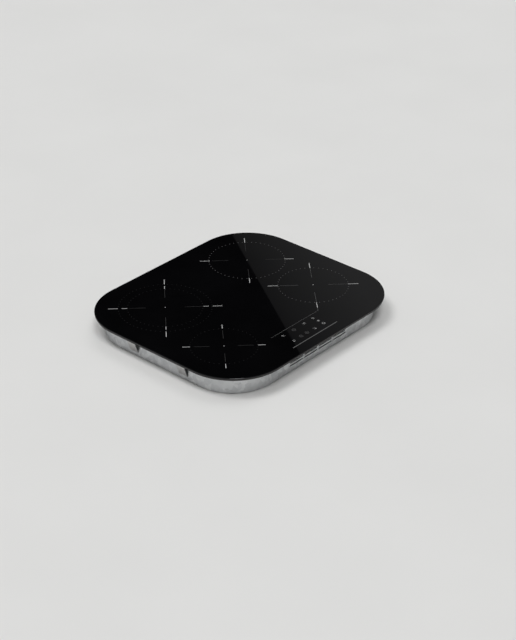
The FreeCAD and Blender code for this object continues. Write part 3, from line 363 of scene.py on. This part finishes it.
def mica():
    """Pressed mica: pale flakes in amber resin."""
    s = Shade("mica")
    flakes = s.cells(420.0, "Color")
    s.base(s.colours(flakes, (0.15, (0.34, 0.28, 0.17)), (0.8, (0.66, 0.60, 0.44))))
    s.rough(s.spread(flakes, 0.22, 0.5))
    return s.bump(flakes, 0.00003, 0.4).material


def ceramic():
    s = Shade("sensor_cap")
    grain = s.noise(700.0, 3.0)
    s.base(s.colours(grain, (0.3, (0.60, 0.60, 0.57)), (0.7, (0.78, 0.77, 0.73))))
    s.rough(s.spread(grain, 0.5, 0.7))
    return s.bump(grain, 0.00002, 0.5).material


def braided_sleeve():
    """Woven glass-fibre sleeve: two sets of threads that cross."""
    s = Shade("wire_sleeve")
    one = s.wave(260.0, "DIAGONAL")
    other = s.wave(260.0, "DIAGONAL", at=s.stretched(-1.0, 1.0, 1.0))
    weave = s.math("MAXIMUM", one, other)
    s.base(s.colours(weave, (0.2, (0.40, 0.38, 0.32)), (0.8, (0.74, 0.72, 0.65))))
    s.rough(s.spread(weave, 0.9, 0.65))
    return s.bump(weave, 0.0001, 0.7).material


def circuit_board():
    """Green solder mask over copper tracks that run along and across."""
    s = Shade("circuit_board", IOR=1.5)
    tracks = s.math("GREATER_THAN", s.wave(42.0, "X", 5.0), 0.62)
    crossing = s.math("GREATER_THAN", s.wave(34.0, "Y", 6.0), 0.70)
    copper = s.math("MAXIMUM", tracks, crossing)
    s.base(s.colours(copper, (0.1, (0.005, 0.055, 0.020)), (0.9, (0.018, 0.135, 0.050))))
    s.rough(s.spread(s.noise(400.0), 0.22, 0.36))
    return s.bump(copper, 0.00004, 0.7).material


def wound_copper():
    """Enamelled wire wound over a core, or over a laminated stator."""
    s = Shade("choke_wire", Metallic=1.0)
    turns = s.wave(330.0, "DIAGONAL", 0.6)
    s.base(s.colours(turns, (0.1, (0.12, 0.03, 0.012)), (0.7, (0.60, 0.22, 0.09))))
    s.rough(s.spread(turns, 0.45, 0.24))
    return s.bump(turns, 0.0002, 0.7).material


def film_capacitor():
    s = Shade("capacitor", IOR=1.5)
    cloud = s.noise(90.0, 3.0)
    s.base(s.colours(cloud, (0.3, (0.50, 0.20, 0.015)), (0.7, (0.66, 0.30, 0.03))))
    s.rough(s.spread(s.noise(900.0), 0.28, 0.44))
    return s.bump(s.noise(900.0), 0.00003, 0.5).material


def tinned():
    s = Shade("terminal_tin", Metallic=1.0)
    cloud = s.noise(500.0, 3.0)
    s.base(s.colours(cloud, (0.3, (0.55, 0.54, 0.50)), (0.7, (0.74, 0.73, 0.70))))
    s.rough(s.spread(cloud, 0.22, 0.42))
    return s.bump(cloud, 0.00002, 0.4).material


def flat_cable():
    """Grey ribbon cable: the wires show as ridges."""
    s = Shade("ribbon")
    wires = s.wave(400.0, "X")
    s.base(s.colours(wires, (0.1, grey(0.30)), (0.8, grey(0.56))))
    s.rough(s.spread(wires, 0.5, 0.36))
    return s.bump(wires, 0.0003, 0.7).material


def display():
    """Dark display face with faint segment windows."""
    s = Shade("display", IOR=1.5)
    bars = s.math("GREATER_THAN", s.wave(110.0, "Y"), 0.8)
    s.base(s.colours(bars, (0.1, grey(0.008)), (0.9, (0.045, 0.014, 0.012))))
    s.rough(s.spread(s.noise(600.0), 0.12, 0.24))
    return s.material


def painted_floor():
    s = Shade("floor")
    cloud = s.noise(3.0, 4.0)
    s.base(s.colours(cloud, (0.3, (0.765, 0.765, 0.755)), (0.7, (0.785, 0.785, 0.775))))
    s.rough(s.spread(s.noise(40.0), 0.75, 0.9))
    return s.material


def glow(name, level):
    """Light of one level from a studio card."""
    material = bpy.data.materials.new(name)
    material.use_nodes = True
    nodes = material.node_tree.nodes
    nodes.remove(nodes["Principled BSDF"])
    light = nodes.new("ShaderNodeEmission")
    light.inputs["Color"].default_value = (1.0, 1.0, 1.0, 1.0)
    light.inputs["Strength"].default_value = level
    material.node_tree.links.new(light.outputs["Emission"], nodes["Material Output"].inputs["Surface"])
    return material


def graded(name, across, start, reach, low, high):
    """Light that grows along a horizontal direction, from low at start to high at start + reach."""
    material = glow(name, low)
    nodes, links = material.node_tree.nodes, material.node_tree.links
    place = nodes.new("ShaderNodeTexCoord").outputs["Object"]
    along = nodes.new("ShaderNodeVectorMath")
    along.operation = "DOT_PRODUCT"
    along.inputs[1].default_value = (across.x, across.y, 0.0)
    links.new(place, along.inputs[0])
    ramp = nodes.new("ShaderNodeMapRange")
    limits = {"From Min": start, "From Max": start + reach, "To Min": low, "To Max": high}
    for socket, value in limits.items():
        ramp.inputs[socket].default_value = value
    links.new(along.outputs["Value"], ramp.inputs["Value"])
    links.new(ramp.outputs["Result"], nodes["Emission"].inputs["Strength"])
    return material


def finish_frame():
    """Gives every node of the frame its material, by the record's slot."""
    nodes = frame["nodes"]
    made = {
        "foam_seal": foam(), "silicone": silicone("silicone", grey(0.02)), "galvanised": galvanised(),
        "spring_steel": spring_steel(), "zinc_screw": zinc_screw(),
        "aluminium": rolled_aluminium("aluminium", 0.66, 0.80, "x"),
        "extrusion": rolled_aluminium("extrusion", 0.58, 0.74, "y"),
        "former_plastic": moulded("former_plastic", grey(0.045), 0.5),
        "ferrite": ferrite(), "mica": mica(),
        "silicone_plug": silicone("silicone_plug", (0.42, 0.07, 0.04)),
        "sensor_cap": ceramic(), "wire_sleeve": braided_sleeve(),
        "grey_plastic": moulded("grey_plastic", (0.20, 0.21, 0.22), 0.42),
        "black_plastic": moulded("black_plastic", (0.020, 0.020, 0.021), 0.38),
        "circuit_board": circuit_board(), "chip_black": moulded("chip_black", grey(0.018), 0.3, 2200.0),
        "capacitor": film_capacitor(), "choke_wire": wound_copper(), "terminal_tin": tinned(),
        "touch_spring": spring_steel(), "display": display(), "ribbon": flat_cable(),
        "terminal_white": moulded("terminal_white", (0.72, 0.72, 0.69), 0.32),
        "black_glass": black_glass(),
    }
    for part in frame["record"]["subparts"]:
        name, slot = part["node"], part["material_slot"]
        if slot == "litz":
            low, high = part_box(name)
            material = litz(name, (low + high) / 2)
        else:
            material = made[slot]
        for place in nodes[name].material_slots:
            place.link = "OBJECT"
            place.material = material
    return made


# ================================================================ glass
def rounded_outline(inset):
    """The glass outline, moved in by inset: four arcs, counter-clockwise."""
    half_x = (GLASS_HIGH.x - GLASS_LOW.x) / 2 - GLASS_R
    half_y = (GLASS_HIGH.y - GLASS_LOW.y) / 2 - GLASS_R
    points = []
    for quarter, (sx, sy) in enumerate(((1, 1), (-1, 1), (-1, -1), (1, -1))):
        for step in range(CORNER_STEPS + 1):
            angle = math.pi / 2 * (quarter + step / CORNER_STEPS)
            points.append((sx * half_x + (GLASS_R - inset) * math.cos(angle),
                           sy * half_y + (GLASS_R - inset) * math.sin(angle)))
    return points


def edge_profile(top, low):
    """Section of the polished edge as (inset, height), from the underside to the top."""
    steps = [i / EDGE_STEPS * math.pi / 2 for i in range(EDGE_STEPS + 1)]
    profile = [(ARRIS_LOW * 3, low)]
    profile += [(ARRIS_LOW * (1 - math.sin(a)), low + ARRIS_LOW * (1 - math.cos(a))) for a in steps]
    profile += [(ARRIS_TOP * (1 - math.cos(a)), top - ARRIS_TOP * (1 - math.sin(a))) for a in steps]
    profile += [(ARRIS_TOP * 2, top)]
    return profile


def finished(name, mesh, material, smooth=False):
    """The mesh as a piece that rides on the cooktop."""
    mesh.materials.append(material)
    piece = bpy.data.objects.new(name, mesh)
    bpy.context.scene.collection.objects.link(piece)
    for face in mesh.polygons:
        face.use_smooth = smooth
    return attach(piece, "cooktop")


def glass_plate(material):
    top = TOP - INK_RISE
    loops = []
    work = bmesh.new()
    for inset, height in edge_profile(top, GLASS_LOW.z):
        loops.append([work.verts.new((x, y, height)) for x, y in rounded_outline(inset)])
    for below, above in zip(loops, loops[1:]):
        count = len(below)
        for i in range(count):
            j = (i + 1) % count
            work.faces.new((below[i], below[j], above[j], above[i]))
    work.faces.new(loops[-1])
    work.faces.new(loops[0][::-1])
    mesh = bpy.data.meshes.new("glass_plate")
    work.to_mesh(mesh)
    work.free()
    piece = finished("glass_plate", mesh, material, smooth=True)
    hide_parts("glass_top")
    return piece


# ================================================================ printed marks
class Print:
    """Flat printed shapes that become one piece."""

    def __init__(self):
        self.shapes = []

    def disc(self, x, y, r, steps=16):
        turn = 2 * math.pi / steps
        self.shapes.append([(x + r * math.cos(turn * i), y + r * math.sin(turn * i)) for i in range(steps)])

    def bar(self, x0, y0, x1, y1, width):
        length = math.hypot(x1 - x0, y1 - y0)
        nx, ny = -(y1 - y0) / length * width / 2, (x1 - x0) / length * width / 2
        self.shapes.append([(x0 - nx, y0 - ny), (x1 - nx, y1 - ny), (x1 + nx, y1 + ny), (x0 + nx, y0 + ny)])

    def ray(self, x, y, degrees, start, end, width):
        c, s = math.cos(math.radians(degrees)), math.sin(math.radians(degrees))
        self.bar(x + start * c, y + start * s, x + end * c, y + end * s, width)

    def arc(self, x, y, r, width, start, sweep, steps=24):
        """A curved line of short bars that share their ends."""
        angles = [math.radians(start + sweep * i / steps) for i in range(steps + 1)]
        for a, b in zip(angles, angles[1:]):
            inner, outer = r - width / 2, r + width / 2
            self.shapes.append([(x + q * math.cos(t), y + q * math.sin(t))
                                for q, t in ((inner, a), (outer, a), (outer, b), (inner, b))])

    def piece(self, name, material):
        work = bmesh.new()
        for shape in self.shapes:
            low = [work.verts.new((x, y, TOP - INK_RISE - INK_SINK)) for x, y in shape]
            high = [work.verts.new((x, y, TOP)) for x, y in shape]
            work.faces.new(high)
            work.faces.new(low[::-1])
            for i in range(len(shape)):
                j = (i + 1) % len(shape)
                work.faces.new((low[i], low[j], high[j], high[i]))
        mesh = bpy.data.meshes.new(name)
        work.to_mesh(mesh)
        work.free()
        return finished(name, mesh, material)


def zone_marks(name, inks):
    """Dotted rings, four ticks, four thin lines and a centre dot."""
    x, y, rings, tick, line = ZONES[name]
    dots = Print()
    for radius, count in rings:
        for k in range(count):
            angle = 2 * math.pi * k / count
            dots.disc(x + radius * math.cos(angle), y + radius * math.sin(angle), DOT_R, DOT_STEPS)
    dot_ink, line_ink = ZONE_INKS[name]
    dots.piece("zone_dots_" + name, inks[dot_ink])
    ticks, lines = Print(), Print()
    for k in range(4):
        ticks.ray(x, y, 45 + 90 * k, *tick, TICK_W)
        if len(rings) > 1:
            ticks.ray(x, y, 45 + 90 * k, *INNER_TICK, TICK_W)
        lines.ray(x, y, 45 + 90 * k, *line, LINE_W)
    ticks.disc(x, y, CENTRE_R)
    ticks.piece("zone_ticks_" + name, inks["tick"])
    lines.piece("zone_lines_" + name, inks[line_ink])


def panel_lines(inks):
    thin, thick = Print(), Print()
    zone_x, zone_y, _, tick, _ = ZONES["front_right"]
    reach = tick[1] / math.sqrt(2)
    bend = zone_x - reach - (zone_y - reach - PANEL_REAR)
    thin.bar(PANEL_LEFT, PANEL_REAR, bend, PANEL_REAR, LINE_W)
    thin.bar(bend, PANEL_REAR, zone_x - reach, zone_y - reach, LINE_W)
    thin.piece("panel_thin_line", inks["line"])
    thick.bar(PANEL_LEFT, PANEL_FRONT, PANEL_RIGHT, PANEL_FRONT, BAR_W)
    thick.piece("panel_thick_line", inks["line"])


def zone_key(marks, x, y, left, rear):
    """Selector for one zone: four small dots, the zone's own as a filled square."""
    half = SELECT_SQUARE / 2
    for sx in (-1, 1):
        for sy in (-1, 1):
            mark_x, mark_y = x + sx * SELECT_STEP, y + sy * SELECT_STEP
            if (sx < 0) == left and (sy > 0) == rear:
                marks.bar(mark_x - half, mark_y, mark_x + half, mark_y, SELECT_SQUARE)
            else:
                marks.disc(mark_x, mark_y, SELECT_DOT_R, DOT_STEPS)


def key_symbols(inks):
    zones, bright, dim = Print(), Print(), Print()
    zone_key(zones, KEY_LEFT, KEY_Y_REAR, True, True)
    zone_key(zones, KEY_MIDDLE, KEY_Y_REAR, False, True)
    zone_key(zones, KEY_LEFT, KEY_Y_FRONT, True, False)
    zone_key(zones, KEY_MIDDLE, KEY_Y_FRONT, False, False)
    zones.piece("zone_symbols", inks["key"])
    # boost: two chevrons
    for rise in CHEVRONS:
        foot, tip = KEY_Y_REAR + rise, KEY_Y_REAR + rise + CHEVRON_H
        bright.bar(KEY_RIGHT - CHEVRON_H, foot, KEY_RIGHT + CHEVRON_TIP, tip, STROKE)
        bright.bar(KEY_RIGHT - CHEVRON_TIP, tip, KEY_RIGHT + CHEVRON_H, foot, STROKE)
    # pause: two bars
    for x in (KEY_RIGHT - PAUSE_DX, KEY_RIGHT + PAUSE_DX):
        bright.bar(x, PAUSE_FROM, x, PAUSE_TO, PAUSE_W)
    # power: an open ring and a bar
    bright.arc(KEY_RIGHT, KEY_Y_FRONT - POWER_DROP, POWER_R, STROKE, POWER_START, POWER_SWEEP)
    bright.bar(KEY_RIGHT, KEY_Y_FRONT + POWER_BAR[0], KEY_RIGHT, KEY_Y_FRONT + POWER_BAR[1], STROKE)
    bright.piece("command_symbols", inks["command"])
    # timer: a clock face
    dim.arc(TIMER_X, KEY_Y_REAR, RING_R, DIM_STROKE, 0, 360, RING_STEPS)
    dim.bar(TIMER_X, KEY_Y_REAR, TIMER_X, KEY_Y_REAR + HAND_LONG, DIM_STROKE)
    dim.bar(TIMER_X, KEY_Y_REAR, TIMER_X + HAND_SHORT, KEY_Y_REAR, DIM_STROKE)
    # minus and plus, each in a ring
    for x in (SIGN_MINUS, SIGN_PLUS):
        dim.arc(x, SIGN_Y, RING_R, DIM_STROKE, 0, 360, RING_STEPS)
        dim.bar(x - SIGN_REACH, SIGN_Y, x + SIGN_REACH, SIGN_Y, DIM_STROKE)
    dim.bar(SIGN_PLUS, SIGN_Y - SIGN_REACH, SIGN_PLUS, SIGN_Y + SIGN_REACH, DIM_STROKE)
    dim.piece("setting_symbols", inks["setting"])


# ================================================================ stage, lights, camera
def card(name, corners, material):
    """A flat stage card that only glossy surfaces see."""
    mesh = bpy.data.meshes.new(name)
    mesh.from_pydata(corners, [], [tuple(range(len(corners)))])
    mesh.materials.append(material)
    obj = bpy.data.objects.new(name, mesh)
    bpy.context.scene.collection.objects.link(obj)
    for ray in ("camera", "diffuse", "transmission", "volume_scatter", "shadow"):
        setattr(obj, "visible_" + ray, False)


def camera_place():
    a, e = math.radians(AZIMUTH), math.radians(ELEVATION)
    back = Vector((math.sin(a) * math.cos(e), -math.cos(a) * math.cos(e), math.sin(e)))
    return AIM + back * DISTANCE, back


def mirrored(point, height):
    """Where the camera sees a point of a horizontal plane at that height above the glass, in the glass."""
    eye, _ = camera_place()
    k = height / (eye.z - TOP)
    return (point[0] + (point[0] - eye.x) * k, point[1] + (point[1] - eye.y) * k, TOP + height)


def stage():
    mesh = bpy.data.meshes.new("floor")
    corners = [(sx * FLOOR_REACH, sy * FLOOR_REACH, 0) for sx, sy in ((-1, -1), (1, -1), (1, 1), (-1, 1))]
    mesh.from_pydata(corners, [], [(0, 1, 2, 3)])
    mesh.materials.append(painted_floor())
    floor = bpy.data.objects.new("floor", mesh)
    floor.location.z = CAD_BOX[0].z
    bpy.context.scene.collection.objects.link(floor)
    # two cards meet in a straight line that lies across the glass in the camera's view
    edge = (SHEEN_REAR - SHEEN_FRONT).normalized()
    right = Vector((edge.y, -edge.x))
    near, far = SHEEN_FRONT - edge * SHEEN_PAST, SHEEN_REAR + edge * SHEEN_PAST
    dark = [near, far, far - right * SHEEN_REACH, near - right * SHEEN_REACH]
    light = [near, near + right * SHEEN_REACH, far + right * SHEEN_REACH, far]
    card("dark_flag", [mirrored(p, CARD_RISE) for p in dark], glow("flag_black", 0.0))
    start = Vector(mirrored(SHEEN_FRONT, CARD_RISE)).xy.dot(right)
    grade = graded("grey_card", right, start, SHEEN_RAMP, *SHEEN_LIGHT)
    card("grey_card", [mirrored(p, CARD_RISE) for p in light], grade)


def sun(name, azimuth, elevation, strength, spread, glints):
    """A soft distant lamp. Without glints, polished faces don't mirror its disc."""
    lamp = bpy.data.lights.new(name, "SUN")
    lamp.energy = strength
    lamp.angle = math.radians(spread)
    obj = bpy.data.objects.new(name, lamp)
    obj.rotation_euler = Euler((math.radians(90 - elevation), 0, math.radians(azimuth)))
    obj.visible_glossy = glints
    bpy.context.scene.collection.objects.link(obj)


def lights():
    world = bpy.data.worlds.new("studio")
    world.use_nodes = True
    nodes, links = world.node_tree.nodes, world.node_tree.links
    room = nodes["Background"]
    room.inputs["Color"].default_value = (*grey(ROOM_LIGHT), 1.0)
    backdrop = nodes.new("ShaderNodeBackground")
    backdrop.inputs["Color"].default_value = (*BACKDROP, 1.0)
    either = nodes.new("ShaderNodeMixShader")
    links.new(nodes.new("ShaderNodeLightPath").outputs["Is Camera Ray"], either.inputs["Fac"])
    links.new(room.outputs["Background"], either.inputs[1])
    links.new(backdrop.outputs["Background"], either.inputs[2])
    links.new(either.outputs["Shader"], nodes["World Output"].inputs["Surface"])
    bpy.context.scene.world = world
    for name, lamp in LAMPS.items():
        sun(name, *lamp)


def camera():
    data = bpy.data.cameras.new("camera")
    data.lens = LENS
    obj = bpy.data.objects.new("camera", data)
    place, back = camera_place()
    obj.location = place
    turn = (-back).to_track_quat("-Z", "Y").to_matrix()
    roll = Euler((0, 0, math.radians(ROLL))).to_matrix()
    obj.rotation_euler = (turn @ roll).to_euler()
    bpy.context.scene.collection.objects.link(obj)
    bpy.context.scene.camera = obj


def main():
    made = finish_frame()
    glass_plate(made["black_glass"])
    inks = {name: enamel("ink_" + name, light) for name, light in INKS.items()}
    for name in ZONES:
        zone_marks(name, inks)
    panel_lines(inks)
    key_symbols(inks)
    stage()
    lights()
    camera()
    bpy.context.scene.view_settings.view_transform = "Standard"


main()
